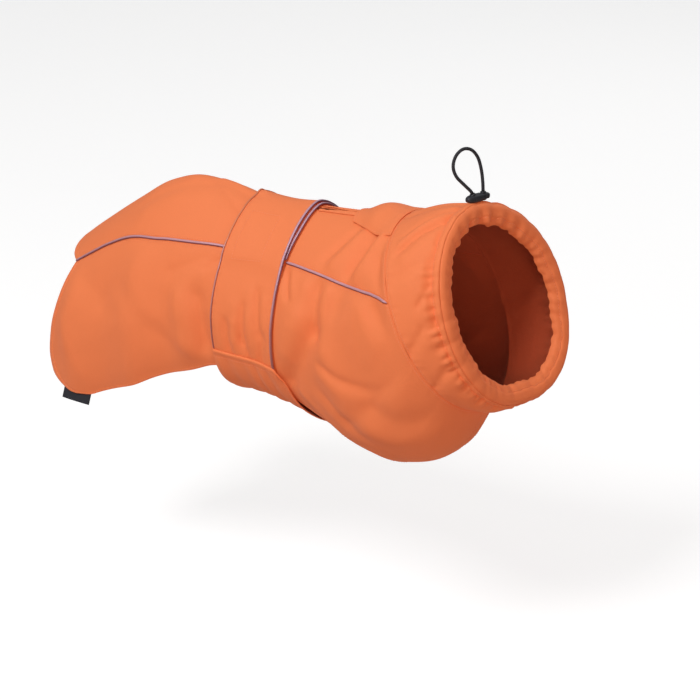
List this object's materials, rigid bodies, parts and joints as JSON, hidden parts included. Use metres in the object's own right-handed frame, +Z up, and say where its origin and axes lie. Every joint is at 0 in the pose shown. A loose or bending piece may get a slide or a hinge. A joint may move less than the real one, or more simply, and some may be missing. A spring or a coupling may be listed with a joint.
{
  "type": "dog raincoat",
  "caption": "Short softshell dog raincoat in its worn, hollow shape: saddle back, wide wrap-over belly belt, high gathered collar, piped seams, harness slit and cord lock.",
  "frame": {"origin": "on the inside of the back, on the spine, at the middle of the belly belt: where the wearer's back holds the coat up", "axes": "+X towards the head, +Z up, +Y to the coat's left side"},
  "size_m": [0.5267, 0.188, 0.3099],
  "materials": {
    "softshell_cloth": "smooth matte softshell with a soft sheen",
    "reflective_piping": "satin reflective tape",
    "label_tape": "woven tape",
    "lock_plastic": "fine matte",
    "elastic_cord": "braided"
  },
  "bodies": {
    "root": {"back_panel": "softshell_cloth", "side_panel_right": "softshell_cloth", "side_panel_left": "softshell_cloth", "belly_panel": "softshell_cloth", "belt_wing_right": "softshell_cloth", "belt_wing_left": "softshell_cloth", "lead_flap": "softshell_cloth", "slit_welt_right": "softshell_cloth", "slit_welt_left": "softshell_cloth", "collar": "softshell_cloth", "collar_facing": "softshell_cloth", "rear_piping_right": "reflective_piping", "rear_piping_left": "reflective_piping", "front_piping_right": "reflective_piping", "front_piping_left": "reflective_piping", "wing_piping_right_rear": "reflective_piping", "wing_piping_right_front": "reflective_piping", "wing_piping_left_front": "reflective_piping", "wing_piping_left_rear": "reflective_piping", "rear_label": "label_tape", "cord_lock": "lock_plastic", "drawcord": "elastic_cord"}
  },
  "joints": []
}
